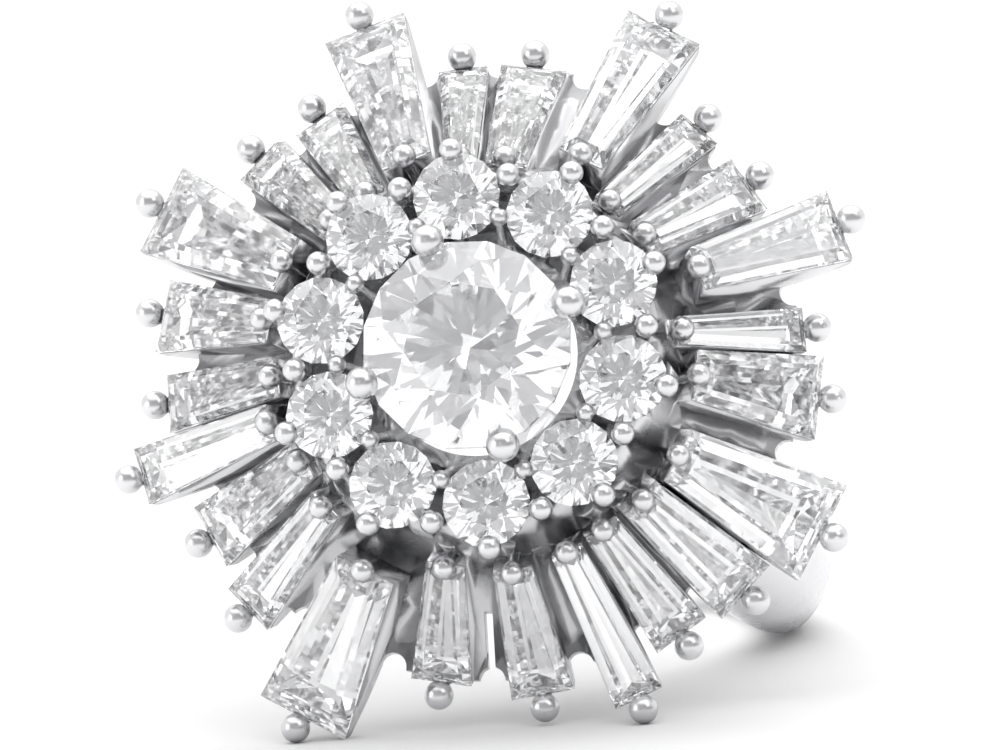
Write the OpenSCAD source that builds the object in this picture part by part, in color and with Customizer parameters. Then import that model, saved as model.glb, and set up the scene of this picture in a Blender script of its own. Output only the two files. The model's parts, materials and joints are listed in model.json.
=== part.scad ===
// Ballerina ring: a round centre stone, a cluster of ten rounds and a waved skirt of 24 tapered
// baguettes, on one soldered mount with an open gallery and a plain band.
// The ring is worked out as worn, with the finger's axis along Y and the head up, and then laid on
// its side, as it rests by itself: on the outer balls of two long baguettes and on the edge of the
// band.

/* [Band] */
// Inside diameter of the band
finger_d = 17.3; // [15:0.1:21]
// Wall of the band at its back
band_t = 1.5; // [1.0:0.1:2.0]
// Width of the band at its back
band_w = 2.2; // [1.8:0.1:3.4]
// Wall of the band where it meets the head
shoulder_t = 2.0; // [1.2:0.1:2.2]
// Width of the band where it meets the head
shoulder_w = 3.9; // [3.5:0.1:6.0]

/* [Head] */
// Height of the centre stone's girdle above the finger
head_rise = 8.05; // [7.4:0.05:10]
// Wall of the cup under the round stones
cup_wall = 0.5; // [0.4:0.05:0.8]
// Wall of the trays that hold the baguettes
tray_wall = 0.2; // [0.15:0.01:0.3]
// Depth of a tray below its stone's girdle
tray_depth = 1.7; // [1.5:0.05:2.2]
// Thickness of the gallery plate that joins the trays to the cup
plate_t = 0.4; // [0.3:0.05:0.6]
// Width of the ribs that carry the plate
rib_w = 0.56; // [0.4:0.02:0.8]
// Gap between a stone and the metal
seat_gap = 0.06; // [0.03:0.01:0.12]

/* [Centre stone] */
// Diameter of the centre stone
centre_d = 6.6; // [6.0:0.05:7.0]
// Diameter of the ball on each of its four claws
centre_bead_d = 1.05; // [0.8:0.05:1.2]

/* [Round stones] */
// Number of round stones
round_count = 10; // [8:1:10]
// Diameter of a round stone
round_d = 2.75; // [2.4:0.05:2.8]
// Drop of their girdles below the centre stone's
round_drop = 0.8; // [0.6:0.05:1.2]
// Gap between the centre stone and the rounds, seen from above
cluster_gap = 0.2; // [0.1:0.05:0.5]
// Diameter of the balls on their claws
round_bead_d = 0.75; // [0.5:0.05:0.85]

/* [Baguettes] */
// Length of a long baguette
long_l = 5.1; // [4.5:0.05:5.8]
// Width of a long baguette at its outer end
long_w = 2.6; // [2.2:0.05:2.7]
// Slope of the long baguettes
long_slope = 22; // [16:1:28]
// How much further out the long baguettes are set
long_set_out = 0.5; // [0.3:0.05:0.9]
// Length of a short baguette
short_l = 4.45; // [3.9:0.05:4.9]
// Width of a short baguette at its outer end
short_w = 1.95; // [1.6:0.05:2.0]
// Slope of the short baguettes
short_slope = 35; // [29:1:40]
// Drop of their inner ends below the centre stone's girdle
halo_drop = 2.15; // [1.9:0.05:2.6]
// Gap between the rounds and the inner ends of the short baguettes, seen from above
halo_gap = 0.16; // [0.1:0.02:0.5]
// Diameter of the ball at a baguette's outer end
outer_bead_d = 0.92; // [0.7:0.02:1.0]
// Diameter of the ball at its inner end
inner_bead_d = 0.76; // [0.6:0.02:0.85]

/* [Hidden] */
$fn = 48;
bore_fn = 96;

finger_r = finger_d / 2;
girdle_z = finger_r + head_rise;
centre_r = centre_d / 2;
round_r = round_d / 2;
round_z = girdle_z - round_drop;
round_ring_r = centre_r + cluster_gap + round_r;
round_pitch = 360 / round_count;
halo_z = girdle_z - halo_drop;
halo_r = round_ring_r + round_r + halo_gap;
// The first round stone and the first centre claw stand this far round from the band's direction
round_turn = 57.5;
centre_claw_turn = 54;

// The baguettes were cut and set by eye, so each differs a little from its fellows.
// turn: from its even place, as a share of the spacing. out: moved out, as a share of its length.
// length and width: shares of its kind's. waist: its inner end as a share of its outer end.
TURN = 0;
OUT = 1;
LENGTH = 2;
WIDTH = 3;
WAIST = 4;
halo_stones = [
    // turn, out, length, width, waist
    [-0.11, 0.03, 1.02, 1.28, 0.54],
    [0.30, 0.11, 0.97, 1.37, 0.60],
    [0.12, -0.01, 0.98, 0.73, 0.64],
    [0.10, 0.10, 0.95, 0.90, 0.60],
    [0.06, -0.02, 1.00, 1.03, 0.62],
    [-0.01, -0.04, 1.04, 0.78, 0.66],
    [-0.10, 0.02, 1.07, 0.98, 0.60],
    [0.20, -0.05, 0.97, 1.08, 0.62],
    [0.08, -0.05, 0.95, 0.80, 0.66],
    [0.06, -0.03, 1.05, 1.03, 0.60],
    [-0.01, -0.04, 1.01, 0.93, 0.62],
    [-0.17, -0.02, 1.09, 0.97, 0.62],
    [-0.08, 0.00, 1.03, 1.16, 0.60],
    [-0.02, 0.09, 1.08, 1.22, 0.58],
    [0.00, 0.01, 1.08, 0.96, 0.66],
    [-0.20, -0.01, 0.98, 0.71, 0.66],
    [-0.33, -0.01, 1.08, 1.12, 0.60],
    [-0.39, 0.05, 1.11, 0.95, 0.64],
    [-0.16, 0.12, 1.03, 1.17, 0.66],
    [0.13, 0.05, 0.92, 0.99, 0.64],
    [0.33, 0.10, 0.98, 1.03, 0.62],
    [0.34, -0.02, 1.01, 0.61, 0.65],
    [0.07, 0.07, 1.01, 0.97, 0.62],
    [-0.07, 0.10, 1.06, 1.15, 0.64],
];
halo_count = len(halo_stones);
halo_pitch = 360 / halo_count;
// Every third baguette is a long one
long_every = 3;
// The first baguette's even place, round from the band's direction
halo_turn = 8;

function is_long(i) = i % long_every == 0;
function stone_l(i) = (is_long(i) ? long_l : short_l) * halo_stones[i][LENGTH];
function outer_w(i) = (is_long(i) ? long_w : short_w) * halo_stones[i][WIDTH];
function inner_w(i) = outer_w(i) * halo_stones[i][WAIST];
function slope(i) = is_long(i) ? long_slope : short_slope;
function halo_angle(i) = halo_turn + halo_pitch * (i + halo_stones[i][TURN]);
function inner_r(i) = halo_r + (is_long(i) ? long_set_out : 0) + halo_stones[i][OUT] * stone_l(i);
// The middle of the gap that follows a baguette
function gap_angle(i) =
    (halo_angle(i) + halo_angle((i + 1) % halo_count) + (i + 1 == halo_count ? 360 : 0)) / 2;

function turned(p, a) = [p.x * cos(a) - p.y * sin(a), p.x * sin(a) + p.y * cos(a), p.z];

// A baguette's own frame: x out along its slope, z out of its table, zero at its girdle's middle
function in_halo(i, p) =
    let (x = p.x + stone_l(i) / 2)
    turned([
        inner_r(i) + x * cos(slope(i)) + p.z * sin(slope(i)),
        p.y,
        halo_z - x * sin(slope(i)) + p.z * cos(slope(i)),
    ], halo_angle(i));

module at_halo(i) {
    rotate([0, 0, halo_angle(i)])
        translate([inner_r(i), 0, halo_z])
            rotate([0, slope(i), 0])
                translate([stone_l(i) / 2, 0, 0])
                    children();
}

module at_round(k) {
    rotate([0, 0, round_turn + round_pitch * k])
        translate([round_ring_r, 0, round_z])
            children();
}

// Cut of the round stones: radii in shares of the stone's, girdle in shares of its diameter
round_table = 0.56;
round_star = 0.78;
round_tip = 0.2;
round_girdle = 0.03;
crown_angle = 34;
pavilion_angle = 41;
eighth = 45;
facet_turn = eighth / 2;

function ring_points(r, z, turn) =
    [for (k = [0:7]) [r * cos(eighth * k + turn), r * sin(eighth * k + turn), z]];
function crown_z(d, r) = d * round_girdle / 2 + (d / 2 - r) * tan(crown_angle);
function pavilion_z(d, r) = -d * round_girdle / 2 - (d / 2 - r) * tan(pavilion_angle);

// A brilliant: table, stars, kites, girdle facets, pavilion mains and halves
module brilliant(d) {
    r = d / 2;
    g = d * round_girdle / 2;
    star_r = r * round_star;
    tip_r = r * round_tip;
    points = concat(
        ring_points(r * round_table, crown_z(d, r * round_table), 0),
        ring_points(star_r, crown_z(d, star_r * cos(facet_turn)), facet_turn),
        ring_points(r, g, 0),
        ring_points(r, g, facet_turn),
        ring_points(r, -g, 0),
        ring_points(r, -g, facet_turn),
        ring_points(tip_r, pavilion_z(d, tip_r * cos(facet_turn)), facet_turn),
        [[0, 0, pavilion_z(d, 0)]]
    );
    faces = concat(
        [[for (k = [7:-1:0]) k]],
        [for (k = [0:7]) let (n = (k + 1) % 8) each [
            [k, n, 8 + k],
            [n, 16 + n, 8 + k],
            [n, 8 + n, 16 + n],
            [8 + k, 24 + k, 16 + k],
            [8 + k, 16 + n, 24 + k],
            [16 + k, 24 + k, 40 + k, 32 + k],
            [24 + k, 16 + n, 32 + n, 40 + k],
            [32 + k, 40 + k, 48 + k],
            [40 + k, 32 + n, 48 + k],
            [32 + n, 48 + n, 48 + k],
            [48 + n, 56, 48 + k],
        ]]
    );
    polyhedron(points, faces);
}

// The space that a round stone needs, with its gap all round
module round_seat(d) {
    r = d / 2;
    g = d * round_girdle / 2 + seat_gap / 2;
    star_r = r * round_star;
    table_r = r * round_table;
    rotate_extrude()
        polygon([
            [0, pavilion_z(d, 0) - seat_gap / cos(pavilion_angle)],
            [r + seat_gap, -g],
            [r + seat_gap, g],
            [star_r + seat_gap, crown_z(d, star_r * cos(facet_turn)) + seat_gap],
            [table_r + seat_gap, crown_z(d, table_r) + seat_gap],
            [0, crown_z(d, table_r) + seat_gap],
        ]);
}

// Cut of the baguettes: insets as shares of the narrow end, rises and falls as shares of the insets
lower_inset = 0.19;
lower_rise = 0.75;
upper_inset = 0.09;
upper_rise = 0.45;
first_inset = 0.14;
first_fall = 1.2;
second_inset = 0.12;
second_fall = 1.0;
keel_fall = 0.87;
baguette_girdle = 0.12;

function flank(i) = (outer_w(i) - inner_w(i)) / 2 / stone_l(i);
function middle_half(i) = (outer_w(i) + inner_w(i)) / 4;

// A tapered outline at one height, drawn in by side on its flanks and by end at its ends
function outline(i, side, end, z) =
    let (
        half = stone_l(i) / 2 - end,
        narrow = middle_half(i) - side - flank(i) * half,
        wide = middle_half(i) - side + flank(i) * half
    )
    [[-half, -narrow, z], [half, -wide, z], [half, wide, z], [-half, narrow, z]];

function side_faces(levels) = [
    for (level = [0:levels - 2], k = [0:3])
        let (a = 4 * level + k, b = 4 * level + (k + 1) % 4)
        [a, b, b + 4, a + 4]
];

function step_z(i) = baguette_girdle / 2 + inner_w(i) * lower_inset * lower_rise;
function table_z(i) = step_z(i) + inner_w(i) * upper_inset * upper_rise;

// A step cut: two steps to the table, a girdle, and two steps down to a keel
module step_cut(i) {
    g = baguette_girdle / 2;
    step = inner_w(i) * lower_inset;
    table = step + inner_w(i) * upper_inset;
    first = inner_w(i) * first_inset;
    second = first + inner_w(i) * second_inset;
    first_z = -g - first * first_fall;
    second_z = first_z - (second - first) * second_fall;
    keel_x = (stone_l(i) - inner_w(i)) / 2;
    keel = [
        for (x = [-keel_x, keel_x])
            [x, 0, second_z - keel_fall * (middle_half(i) - second + flank(i) * x)]
    ];
    polyhedron(
        concat(
            outline(i, table, table, table_z(i)),
            outline(i, step, step, step_z(i)),
            outline(i, 0, 0, g),
            outline(i, 0, 0, -g),
            outline(i, first, first, first_z),
            outline(i, second, second, second_z),
            keel
        ),
        concat(
            [[3, 2, 1, 0]],
            side_faces(6),
            [[20, 21, 25, 24], [21, 22, 25], [22, 23, 24, 25], [23, 20, 24]]
        )
    );
}

// The space that a baguette needs: over its crown, round its girdle, down along its pavilion to the
// inside of its tray's walls, and out through the tray's bottom
module step_seat(i) {
    g = baguette_girdle / 2;
    step = inner_w(i) * lower_inset;
    polyhedron(
        concat(
            outline(i, step, step, table_z(i) + seat_gap),
            outline(i, -seat_gap, -seat_gap, g + seat_gap),
            outline(i, -seat_gap, -seat_gap, -g),
            outline(i, tray_wall, tray_wall, -g - (seat_gap + tray_wall) * first_fall),
            outline(i, tray_wall, tray_wall, -tray_depth - tray_wall)
        ),
        concat([[3, 2, 1, 0]], side_faces(5), [[16, 17, 18, 19]])
    );
}

// A tray stands under its stone's outline. Its rim lies this far below the girdle, and its lower
// edge curves up to the tip's depth.
rim_drop = 0.12;
tray_tip = 0.5;
tray_steps = 5;

function tray_corners(i) = [for (k = [1, 2]) in_halo(i, outline(i, 0, 0, -tray_tip)[k])];
function girdle_corners(i) =
    [for (k = [1, 2], z = [-1, 1] * baguette_girdle / 2) in_halo(i, outline(i, 0, 0, z)[k])];

module tray(i) {
    half = stone_l(i) / 2;
    curve = [
        for (k = [0:tray_steps])
            let (t = k / tray_steps)
            [half * t, -tray_tip - (tray_depth - tray_tip) * cos(90 * t)]
    ];
    difference() {
        translate([0, 0, -tray_depth])
            linear_extrude(tray_depth - rim_drop)
                polygon([for (p = outline(i, 0, 0, 0)) [p.x, p.y]]);
        rotate([90, 0, 0])
            translate([0, 0, -outer_w(i)])
                linear_extrude(2 * outer_w(i))
                    polygon(concat(
                        [[0, -2 * tray_depth]],
                        curve,
                        [[2 * half, -tray_tip], [2 * half, -2 * tray_depth]]
                    ));
    }
}

// A claw: a wire that ends in a ball
module claw(foot, tip, wire_d, bead_d) {
    along = tip - foot;
    translate(tip)
        sphere(d = bead_d);
    translate(foot)
        rotate([0, acos(along.z / norm(along)), atan2(along.y, along.x)])
            cylinder(d = wire_d, h = norm(along));
}

// Claw wires, and the balls' centres above the girdle, as shares of the balls
wire_share = 0.56;
bead_lift = 0.36;
// How far a ball's centre stands outside the stone's end, as shares of the ball
outer_bead_out = 0.34;
inner_bead_out = 0.05;
// The inner claws root this deep in the trays' ends, as a share of their depth
inner_root = 0.7;

function outer_bead_x(i) = stone_l(i) / 2 + outer_bead_d * outer_bead_out;

module baguette_claws(i) {
    root_x = stone_l(i) / 2 - tray_wall / 2;
    claw([root_x, 0, -tray_tip], [outer_bead_x(i), 0, outer_bead_d * bead_lift],
        outer_bead_d * wire_share, outer_bead_d);
    claw([-root_x, 0, -tray_depth * inner_root],
        [-stone_l(i) / 2 - inner_bead_d * inner_bead_out, 0, inner_bead_d * bead_lift],
        inner_bead_d * wire_share, inner_bead_d);
}

// The cup's wall swells from its foot to where the trays meet it, and draws in under the rounds
cup_under_rounds = 0.45;
cup_top_out = 0.55;
cup_below_trays = 0.2;
cup_in_trays = 0.25;
cup_draw_in = 1.5;
foot_rise = 0.7;
cup_top_r = round_ring_r + round_r * cup_top_out;
cup_top_z = round_z - cup_under_rounds;
cup_mid_r = halo_r + long_set_out - cup_in_trays;
cup_mid_z = halo_z - tray_depth - cup_below_trays;
cup_foot_r = cup_mid_r - cup_draw_in;
cup_foot_z = finger_r + foot_rise;
// Below its foot the cup is a collar, which the finger's bore cuts to a saddle
collar_z = finger_r / 2;

module cup() {
    rotate_extrude()
        polygon([
            [cup_top_r, cup_top_z], [cup_mid_r, cup_mid_z], [cup_foot_r, cup_foot_z],
            [cup_foot_r, collar_z], [cup_foot_r - cup_wall, collar_z],
            [cup_foot_r - cup_wall, cup_foot_z], [cup_mid_r - cup_wall, cup_mid_z],
            [cup_top_r - cup_wall, cup_top_z],
        ]);
}

// The inner basket stands on a floor plate and holds the centre stone's claws
basket_out = 0.35;
basket_drop = 2.0;
floor_t = 0.5;
basket_r = centre_r + basket_out;
basket_top = girdle_z - basket_drop;

module basket() {
    rotate_extrude() {
        translate([basket_r - cup_wall, cup_foot_z])
            square([cup_wall, basket_top - cup_foot_z]);
        translate([basket_r - cup_wall, cup_foot_z])
            square([cup_foot_r - basket_r + cup_wall / 2, floor_t]);
    }
}

// How deep the claws of the centre and of the rounds root in the walls below them
claw_root = 0.8;
centre_bead_out = 0.14;

function centre_bead(k) =
    turned([centre_r + centre_bead_d * centre_bead_out, 0, girdle_z + centre_bead_d * bead_lift],
        centre_claw_turn + 90 * k);

module centre_claws() {
    for (k = [0:3])
        claw(turned([basket_r - cup_wall / 2, 0, basket_top - claw_root], centre_claw_turn + 90 * k),
            centre_bead(k), centre_bead_d * wire_share, centre_bead_d);
}

// The balls round a round stone: the outermost in line with it, the others between it and the next.
// All are in shares of its radius from the circle of the rounds, and the innermost are smaller.
outermost_ball = 1.04;
outer_ball = 0.5;
inner_ball = -0.48;
inner_ball_size = 0.8;

module round_claws() {
    ball_z = round_z + round_bead_d * bead_lift;
    wire = round_bead_d * wire_share;
    cup_root = [cup_top_r - cup_wall / 2, 0, cup_top_z - claw_root];
    basket_root = [basket_r - cup_wall / 2, 0, basket_top - claw_root];
    for (k = [0:round_count - 1]) {
        in_line = round_turn + round_pitch * k;
        between = in_line + round_pitch / 2;
        claw(turned(cup_root, in_line),
            turned([round_ring_r + round_r * outermost_ball, 0, ball_z], in_line),
            wire, round_bead_d);
        claw(turned(cup_root, between),
            turned([round_ring_r + round_r * outer_ball, 0, ball_z], between),
            wire, round_bead_d);
        claw(turned(basket_root, between),
            turned([round_ring_r + round_r * inner_ball, 0, ball_z], between),
            wire * inner_ball_size, round_bead_d * inner_ball_size);
    }
}

// The gallery plate slopes down from inside the cup's wall, at its widest, out through all trays,
// with a round notch in each gap between two of them. Its top edge stays this far under the girdles
// of the short baguettes.
plate_under = 0.25;
plate_out = 3.4;
plate_into_cup = 0.7;
plate_bevel = 0.15;
notch_d = 0.84;
// One gap has a sawn slot as well, from this far outside the inner ends of the short baguettes
slot_gap = 19;
slot_w = 0.25;
slot_out = 1.34;
plate_inner_r = cup_mid_r - cup_wall * plate_into_cup;
plate_outer_r = halo_r + plate_out;
plate_edge_z = halo_z - plate_out * tan(short_slope) - plate_under - plate_t;
plate_fall = (cup_mid_z - plate_edge_z) / (plate_outer_r - cup_mid_r);

// The height of the plate's underside
function plate_z(r) = plate_edge_z + (plate_outer_r - r) * plate_fall;

module gallery_plate() {
    difference() {
        rotate_extrude()
            polygon([
                [plate_inner_r, plate_z(plate_inner_r)],
                [plate_outer_r - plate_bevel, plate_z(plate_outer_r - plate_bevel)],
                [plate_outer_r, plate_edge_z + plate_bevel],
                [plate_outer_r, plate_edge_z + plate_t],
                [plate_inner_r, plate_z(plate_inner_r) + plate_t],
            ]);
        translate([0, 0, plate_edge_z - plate_t])
            linear_extrude(cup_mid_z - plate_edge_z + 3 * plate_t) {
                for (i = [0:halo_count - 1])
                    rotate(gap_angle(i))
                        translate([plate_outer_r, 0])
                            circle(d = notch_d);
                rotate(gap_angle(slot_gap))
                    translate([halo_r + slot_out, -slot_w / 2])
                        square([plate_out - slot_out, slot_w]);
            }
    }
}

// Each rib is an arc from the cup's foot out and up into the plate, beside a long baguette
rib_t = 0.6;
rib_root = 0.1;
rib_out = 1.8;

module ribs() {
    rise = plate_z(halo_r + rib_out) - cup_foot_z;
    run = halo_r + rib_out - cup_foot_r;
    rib_r = (rise * rise + run * run) / 2 / rise;
    sweep = atan2(run, rib_r - rise);
    for (i = [0:long_every:halo_count - 1])
        rotate([0, 0, gap_angle(i)])
            translate([cup_foot_r - rib_root, 0, cup_foot_z + rib_r])
                rotate([90, 90, 0])
                    translate([0, 0, -rib_w / 2])
                        rotate_extrude(angle = sweep)
                            translate([rib_r - rib_t / 2, 0])
                                square([rib_t, rib_w]);
}

// The band: rounded sections swept from inside the cup's wall round the back of the finger
flare_from = 70;
flare_to = 118;
band_steps = 52;
dome_steps = 12;
dome_power = 0.8;
band_side = 0.3;
// The sections stop this far outside the bore, and the liner this far inside their edges
liner_step = 0.12;
liner_inset = 0.1;
liner_t = 0.35;
band_start = asin(sqrt(pow(cup_foot_r - cup_wall / 2, 2) - pow(shoulder_w / 2, 2))
    / (finger_r + band_side * shoulder_t));

function smooth(x) = let (t = max(0, min(1, x))) t * t * (3 - 2 * t);
function mixed(a, b, t) = a + (b - a) * t;
// How far the band has drawn in at an angle from the head: 0 at the shoulders, 1 at the back
function drawn_in(angle) = smooth((angle - flare_from) / (flare_to - flare_from));
function half_width(angle) = mixed(shoulder_w, band_w, drawn_in(angle)) / 2;
function from_head(k) = mixed(band_start, 360 - band_start, k / band_steps);

function band_section(angle) =
    let (
        half = half_width(angle),
        wall = mixed(shoulder_t, band_t, drawn_in(angle)),
        side_r = finger_r + wall * band_side
    )
    concat(
        [[half, finger_r + liner_step]],
        [for (j = [0:dome_steps])
            let (u = 180 * j / dome_steps)
            [
                half * sign(cos(u)) * pow(abs(cos(u)), dome_power),
                side_r + wall * (1 - band_side) * pow(sin(u), dome_power),
            ]],
        [[-half, finger_r + liner_step]]
    );
band_points = [
    for (k = [0:band_steps], p = band_section(min(from_head(k), 360 - from_head(k))))
        [p.y * sin(from_head(k)), p.x, p.y * cos(from_head(k))]
];

module swept_band() {
    m = dome_steps + 3;
    polyhedron(
        band_points,
        concat(
            [[for (j = [0:m - 1]) j]],
            [for (k = [0:band_steps - 1], j = [0:m - 1])
                let (a = k * m + j, b = k * m + (j + 1) % m)
                [a, a + m, b + m, b]],
            [[for (j = [m - 1:-1:0]) band_steps * m + j]]
        )
    );
}

// The liner lies inside the swept band and reaches into the finger's space, where the bore cuts it
module liner() {
    liner_top = sqrt(pow(finger_r, 2) - pow(cup_foot_r - cup_wall, 2));
    flare = [
        for (angle = [flare_from:(flare_to - flare_from) / 10:flare_to])
            [half_width(angle) - liner_inset, finger_r * cos(angle)]
    ];
    half = concat(
        [[shoulder_w / 2 - liner_inset, liner_top]],
        flare,
        [[band_w / 2 - liner_inset, -finger_d]]
    );
    intersection() {
        rotate([90, 0, 0])
            cylinder(r = finger_r + liner_t, h = 2 * shoulder_w, center = true, $fn = bore_fn);
        rotate([90, 0, 90])
            linear_extrude(2 * finger_d, center = true)
                polygon(concat(half, [for (k = [len(half) - 1:-1:0]) [-half[k].x, half[k].y]]));
    }
}

module mount() {
    color("gainsboro")
        lie_down()
            difference() {
                union() {
                    swept_band();
                    liner();
                    cup();
                    basket();
                    gallery_plate();
                    ribs();
                    centre_claws();
                    round_claws();
                    for (i = [0:halo_count - 1])
                        at_halo(i) {
                            tray(i);
                            baguette_claws(i);
                        }
                }
                rotate([90, 0, 0])
                    cylinder(r = finger_r, h = 2 * halo_r, center = true, $fn = bore_fn);
                translate([0, 0, girdle_z])
                    round_seat(centre_d);
                for (k = [0:round_count - 1])
                    at_round(k)
                        round_seat(round_d);
                for (i = [0:halo_count - 1])
                    at_halo(i)
                        step_seat(i);
            }
}

module centre_stone() {
    color("azure")
        lie_down()
            translate([0, 0, girdle_z])
                brilliant(centre_d);
}

module round_stone(k) {
    color("azure")
        lie_down()
            at_round(k)
                brilliant(round_d);
}

module baguette(i) {
    color("azure")
        lie_down()
            at_halo(i)
                step_cut(i);
}

// The two long baguettes whose outer balls meet the surface
rest_one = 18;
rest_other = 21;

function unit(v) = v / norm(v);
outer_beads = [
    for (i = [0:halo_count - 1]) in_halo(i, [outer_bead_x(i), 0, outer_bead_d * bead_lift])
];
outer_corners = [for (i = [0:halo_count - 1]) each concat(tray_corners(i), girdle_corners(i))];
chord = outer_beads[rest_other] - outer_beads[rest_one];
side_level = unit(cross([0, 0, 1], chord));
side_rise = cross(unit(chord), side_level);
// Upwards, for a ring that rests on the two balls and leans by t
function lean(t) = side_level * cos(t) + side_rise * sin(t);

// How far the band reaches below the balls when the ring leans by t
function band_below(t) =
    outer_beads[rest_one] * lean(t) - outer_bead_d / 2 - min([for (p = band_points) p * lean(t)]);
function touching(low, high, steps) =
    let (middle = (low + high) / 2)
    steps == 0 ? middle
        : band_below(middle) > 0 ? touching(low, middle, steps - 1)
        : touching(middle, high, steps - 1);

rest_up = lean(touching(0, 60, 30));
rest_back = unit(rest_up * rest_up.z - [0, 0, 1]);
rest_right = cross(rest_back, rest_up);

// How far the ring reaches from the finger's centre along one direction
function reach(e) = max(
    max([for (p = outer_beads) p * e]) + outer_bead_d / 2,
    max([for (k = [0:3]) centre_bead(k) * e]) + centre_bead_d / 2,
    max([for (p = concat(outer_corners, band_points)) p * e])
);

module lie_down() {
    rows = [rest_right, rest_back, rest_up];
    shift = [
        (reach(-rest_right) - reach(rest_right)) / 2,
        (reach(-rest_back) - reach(rest_back)) / 2,
        reach(-rest_up),
    ];
    multmatrix([for (k = [0:2]) [rows[k].x, rows[k].y, rows[k].z, shift[k]]])
        children();
}

mount();
centre_stone();
for (k = [1:round_count])
    round_stone(k - 1);
for (i = [1:halo_count])
    baguette(i - 1);
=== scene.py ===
"""Dressing of the ballerina ring.

Cut diamonds, a polished white gold mount, a pale floor and soft light.
"""

import json
import math

import bpy
from mathutils import Matrix, Vector


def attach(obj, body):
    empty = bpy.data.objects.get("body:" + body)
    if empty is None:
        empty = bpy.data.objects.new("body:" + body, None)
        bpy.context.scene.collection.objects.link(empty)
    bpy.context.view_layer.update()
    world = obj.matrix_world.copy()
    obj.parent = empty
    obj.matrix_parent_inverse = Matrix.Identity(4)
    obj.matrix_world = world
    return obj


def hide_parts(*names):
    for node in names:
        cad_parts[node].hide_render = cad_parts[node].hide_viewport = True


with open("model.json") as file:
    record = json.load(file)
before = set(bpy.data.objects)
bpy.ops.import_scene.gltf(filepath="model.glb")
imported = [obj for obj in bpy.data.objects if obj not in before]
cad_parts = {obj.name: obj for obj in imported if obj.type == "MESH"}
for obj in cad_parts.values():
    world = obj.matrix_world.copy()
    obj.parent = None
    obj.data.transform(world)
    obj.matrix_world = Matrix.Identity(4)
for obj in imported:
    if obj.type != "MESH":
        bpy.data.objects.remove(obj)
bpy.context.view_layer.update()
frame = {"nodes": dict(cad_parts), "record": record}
nodes = frame["nodes"]
MM = 0.001

# The ring's own directions, from its bore and its centre stone. Each corner of the stone counts
# once, however many faces share it: corners that agree to this many digits are one.
CORNER_DIGITS = 7
bore = next(mount for mount in frame["record"]["mounts"] if mount["name"] == "finger_bore")
FINGER = Vector(bore["pos_m"])
ALONG = Vector(bore["axis"]).normalized()
stone = nodes["centre_stone"]
corners = [Vector(corner) for corner in {
    tuple(round(x, CORNER_DIGITS) for x in stone.matrix_world @ vertex.co)
    for vertex in stone.data.vertices}]
to_stone = sum(corners, Vector()) / len(corners) - FINGER
UP = (to_stone - ALONG * to_stone.dot(ALONG)).normalized()
ACROSS = ALONG.cross(UP)


def ring_way(off, turn):
    """A direction off the head's axis, turned round it from the band's direction, in degrees."""
    off, turn = math.radians(off), math.radians(turn)
    return (ACROSS * math.cos(turn) + ALONG * math.sin(turn)) * math.sin(off) + UP * math.cos(off)


def settle():
    """Nothing selected or in edit mode, so that an operator acts on its own piece alone."""
    if bpy.context.object and bpy.context.object.mode != "OBJECT":
        bpy.ops.object.mode_set(mode="OBJECT")
    bpy.ops.object.select_all(action="DESELECT")


def pick(piece):
    """One piece alone selected and active."""
    settle()
    piece.select_set(True)
    bpy.context.view_layer.objects.active = piece


class Socket:
    """A shader socket whose sums and products add Math nodes."""

    def __init__(self, tree, link):
        self.tree, self.link = tree, link

    def sum_of(self, operation, other, swapped=False):
        node = self.tree.nodes.new("ShaderNodeMath")
        node.operation = operation
        for place, value in zip((1, 0) if swapped else (0, 1), (self, other)):
            if isinstance(value, Socket):
                self.tree.links.new(value.link, node.inputs[place])
            else:
                node.inputs[place].default_value = value
        return Socket(self.tree, node.outputs[0])

    def __add__(self, other):
        return self.sum_of("ADD", other)

    __radd__ = __add__

    def __rsub__(self, other):
        return self.sum_of("SUBTRACT", other, True)

    def __mul__(self, other):
        return self.sum_of("MULTIPLY", other)


class Wiring:
    """Nodes in one tree, made by their type, settings and socket values."""

    # A colour Mix node's sockets that carry its factor and its two colours, and its colour output
    MIX_IN = (0, 6, 7)
    MIX_OUT = 2

    def __init__(self, tree):
        self.tree = tree

    def node(self, kind, output, settings=None, second=None, **values):
        """A node's named output. second goes to a second socket that shares the first's name."""
        node = self.tree.nodes.new("ShaderNode" + kind)
        for key, value in (settings or {}).items():
            setattr(node, key, value)
        for name, value in values.items():
            self.put(node.inputs[name.replace("_", " ")], value)
        if second is not None:
            self.put(node.inputs[1], second)
        return Socket(self.tree, node.outputs[output])

    def put(self, place, value):
        """A link or a constant into one socket."""
        if isinstance(value, Socket):
            self.tree.links.new(value.link, place)
        else:
            place.default_value = value

    def mix(self, factor, first, second):
        """A blend of two colours."""
        node = self.tree.nodes.new("ShaderNodeMix")
        node.data_type = "RGBA"
        for place, value in zip(self.MIX_IN, (factor, first, second)):
            self.put(node.inputs[place], value)
        return Socket(self.tree, node.outputs[self.MIX_OUT])

    def eased(self, value, low, high):
        """0 below low, 1 above high and smooth between them."""
        return self.node("MapRange", "Result", {"interpolation_type": "SMOOTHSTEP"},
                         Value=value, From_Min=low, From_Max=high)


class Finish(Wiring):
    """A material under way."""

    def __init__(self, name):
        self.material = bpy.data.materials.new(name)
        self.material.use_nodes = True
        super().__init__(self.material.node_tree)
        self.shader = self.tree.nodes["Principled BSDF"]

    def set(self, **values):
        for name, value in values.items():
            self.put(self.shader.inputs[name.replace("_", " ")], value)
        return self.material


CREVICE_REACH = 1.2 * MM
EDGE_RADIUS = 0.06 * MM
MARK_DEPTH = 0.02 * MM
# A dark grey painted into crevices as shade, and the colour of the polished metal
PAINTED_SHADE = (0.32, 0.32, 0.33, 1)
POLISHED = (0.76, 0.76, 0.77, 1)


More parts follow.
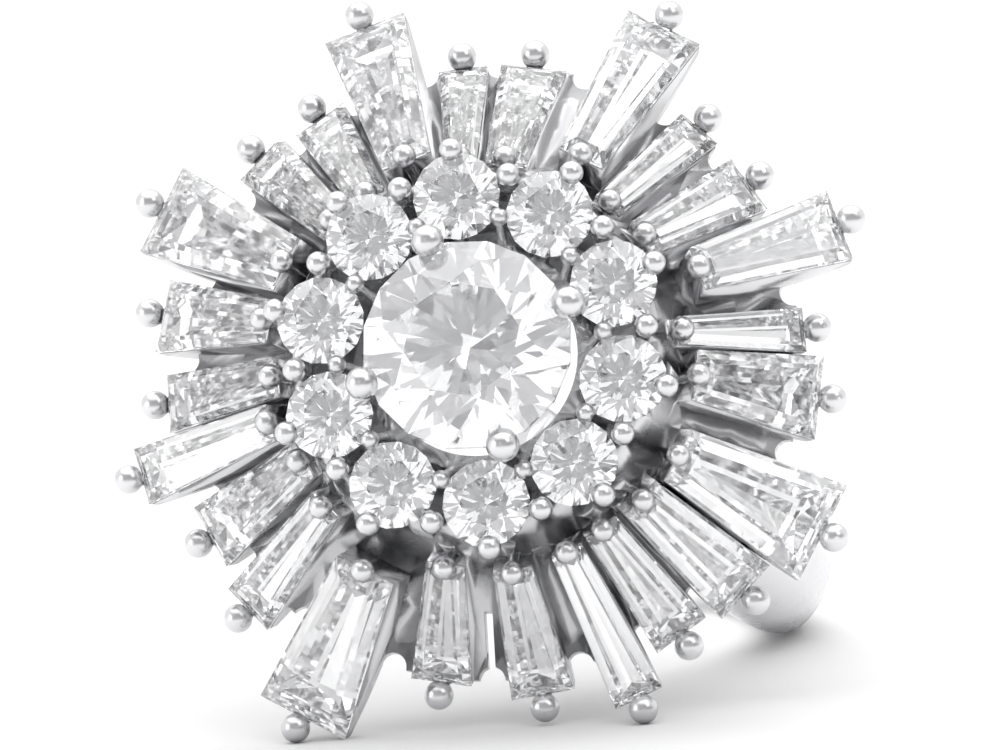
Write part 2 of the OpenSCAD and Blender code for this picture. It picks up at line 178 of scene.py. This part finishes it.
def white_gold():
    """Polished by hand: soft edges, faint wheel marks and painted shade that darkens the
    crevices.
    """
    f = Finish("white_gold")
    place = f.node("TexCoord", "Object")
    marks = f.node("TexNoise", "Fac", Vector=place, Scale=2600.0, Detail=4.0)
    patches = f.node("TexNoise", "Fac", Vector=place, Scale=420.0, Detail=3.0)
    open_sky = f.node("AmbientOcclusion", "AO", {"samples": 2}, Distance=CREVICE_REACH)
    soft = f.node("Bevel", "Normal", {"samples": 2}, Radius=EDGE_RADIUS)
    bump = f.node("Bump", "Normal", Strength=0.10, Distance=MARK_DEPTH,
                  Height=marks + patches * 1.5, Normal=soft)
    # Painted shade: the colour turns dark grey wherever ambient occlusion finds the surface shut
    # in
    colour = f.mix(open_sky, PAINTED_SHADE, POLISHED)
    return f.set(Metallic=1.0, Base_Color=colour, Roughness=0.19 + patches * 0.14, Normal=bump)


DIAMOND_INDEX = 2.417
LINE_DEPTH = 0.004 * MM
CLOUDED = (0.972, 0.980, 0.990, 1)
CLEAR = (0.998, 0.999, 1.0, 1)


def diamond():
    """Clear and highly refractive, with a breath of cloud and faint polishing lines."""
    f = Finish("diamond")
    place = f.node("TexCoord", "Object")
    cloud = f.node("TexNoise", "Fac", Vector=place, Scale=700.0, Detail=2.0)
    lines = f.node("TexWave", "Fac", Vector=place, Scale=9000.0, Distortion=1.5, Detail=1.0)
    colour = f.mix(cloud, CLOUDED, CLEAR)
    bump = f.node("Bump", "Normal", Strength=0.012, Distance=LINE_DEPTH, Height=lines)
    return f.set(Base_Color=colour, Roughness=0.0, IOR=DIAMOND_INDEX, Transmission_Weight=1.0,
                 Normal=bump)


GOLD = white_gold()
DIAMOND = diamond()


def dress(piece, material):
    """One material on the whole piece."""
    piece.data.materials.clear()
    piece.data.materials.append(material)


for name, node in nodes.items():
    if name != "mount":
        dress(node, DIAMOND)

# The mount's surface is smoothed on a merged copy, which stands for the node. Edges that turn
# less than the angle are smooth.
MERGE_WITHIN = 0.002 * MM
SMOOTH_UNDER = 32
settle()
mount = nodes["mount"].copy()
mount.data = nodes["mount"].data.copy()
mount.name = "polished_mount"
mount.parent = None
bpy.context.scene.collection.objects.link(mount)
for mark in [key for key in mount.keys() if key.startswith("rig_")]:
    del mount[mark]
pick(mount)
bpy.ops.object.mode_set(mode="EDIT")
bpy.ops.mesh.select_all(action="SELECT")
bpy.ops.mesh.remove_doubles(threshold=MERGE_WITHIN)
bpy.ops.object.mode_set(mode="OBJECT")
bpy.ops.object.shade_smooth_by_angle(angle=math.radians(SMOOTH_UNDER))
dress(mount, GOLD)
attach(mount, "root")
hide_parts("mount")

# The floor
FLOOR_SIDE = 6
PAPER = (0.95, 0.95, 0.95, 1)
GRAIN_DEPTH = 0.1 * MM
settle()
bpy.ops.mesh.primitive_plane_add(size=FLOOR_SIDE)
floor = bpy.context.object
floor.name = "floor"
paper = Finish("floor_paper")
grain = paper.node("TexNoise", "Fac", Vector=paper.node("TexCoord", "Object"), Scale=900.0)
fibres = paper.node("Bump", "Normal", Strength=0.02, Distance=GRAIN_DEPTH, Height=grain)
dress(floor, paper.set(Base_Color=PAPER, Roughness=0.9, Normal=fibres))

# The camera looks down on the head, a little from its right and from below it. The photograph is
# this many pixels wide, with this many to the mm at the height of the centre stone's girdle.
PHOTO_WIDTH = 1000
PIXELS_PER_MM = 32.3
SEEN = PHOTO_WIDTH / PIXELS_PER_MM * MM
CAMERA_OFF, CAMERA_TURN, TOP_TURN = 14, -13, 124
SQUARE_TO_AXIS = 90
GIRDLE_RISE = 16.7 * MM
AWAY = 0.300
SENSOR = 36
SHIFT_X, SHIFT_Y = 0.033, -0.030
NEAREST, FURTHEST = 0.01, 20
HEAD = FINGER + UP * GIRDLE_RISE
TOWARD = ring_way(CAMERA_OFF, CAMERA_TURN)
UPRIGHT = ring_way(SQUARE_TO_AXIS, TOP_TURN)
lens = bpy.data.cameras.new("camera")
camera = bpy.data.objects.new("camera", lens)
bpy.context.scene.collection.objects.link(camera)
bpy.context.scene.camera = camera
lens.sensor_width = SENSOR
lens.lens = SENSOR * AWAY / SEEN
lens.shift_x = SHIFT_X
lens.shift_y = SHIFT_Y
lens.clip_start, lens.clip_end = NEAREST, FURTHEST
right = UPRIGHT.cross(TOWARD).normalized()
camera.matrix_world = Matrix.Translation(HEAD + TOWARD * AWAY) @ Matrix(
    (right, TOWARD.cross(right), TOWARD)).transposed().to_4x4()


def softbox(name, spot, size, watts):
    """A square soft light at a spot in metres, turned to the ring."""
    light = bpy.data.lights.new(name, "AREA")
    light.shape = "SQUARE"
    light.size = size
    light.energy = watts
    lamp = bpy.data.objects.new(name, light)
    bpy.context.scene.collection.objects.link(lamp)
    lamp.location = spot
    lamp.rotation_euler = (Vector(spot) - HEAD).to_track_quat("Z", "Y").to_euler()


softbox("overhead", spot=(0.0, 0.05, 0.7), size=1.2, watts=4.4)
softbox("left_low", spot=(-0.45, -0.30, 0.16), size=0.30, watts=0.35)
softbox("right_high", spot=(0.40, -0.30, 0.40), size=0.22, watts=0.3)

CLOTH_BEHIND = (1.0, 1.0, 1.0, 1)
CLOTH_TOWARDS = (0.50, 0.50, 0.51, 1)
CARD = (0.16, 0.16, 0.17, 1)
CARD_COVER = 0.75


def tent():
    """The tent round the ring: white behind, pale grey towards the camera, grey cards between."""
    world = bpy.data.worlds.new("tent")
    world.use_nodes = True
    w = Wiring(world.node_tree)
    way = w.node("TexCoord", "Generated")
    facing = w.node("VectorMath", "Value", {"operation": "DOT_PRODUCT"},
                    second=tuple(TOWARD), Vector=way)
    cloth = w.mix(w.eased(facing, -0.1, 0.9), CLOTH_BEHIND, CLOTH_TOWARDS)
    folds = w.node("TexNoise", "Fac", Vector=way, Scale=3.2, Detail=2.0)
    beside = w.eased(folds, 0.50, 0.60) * w.eased(facing, 0.0, 0.25)
    cards = beside * (1.0 - w.eased(facing, 0.80, 0.95))
    back = world.node_tree.nodes["Background"]
    w.put(back.inputs["Color"], w.mix(cards * CARD_COVER, cloth, CARD))
    back.inputs["Strength"].default_value = 1.0
    bpy.context.scene.world = world


tent()
bpy.context.scene.view_settings.view_transform = "Standard"

# Light is thrown back many times inside a cut diamond before it comes out again
PATH_TURNS = 24
paths = bpy.context.scene.cycles
paths.max_bounces = PATH_TURNS
paths.glossy_bounces = PATH_TURNS
paths.transmission_bounces = PATH_TURNS
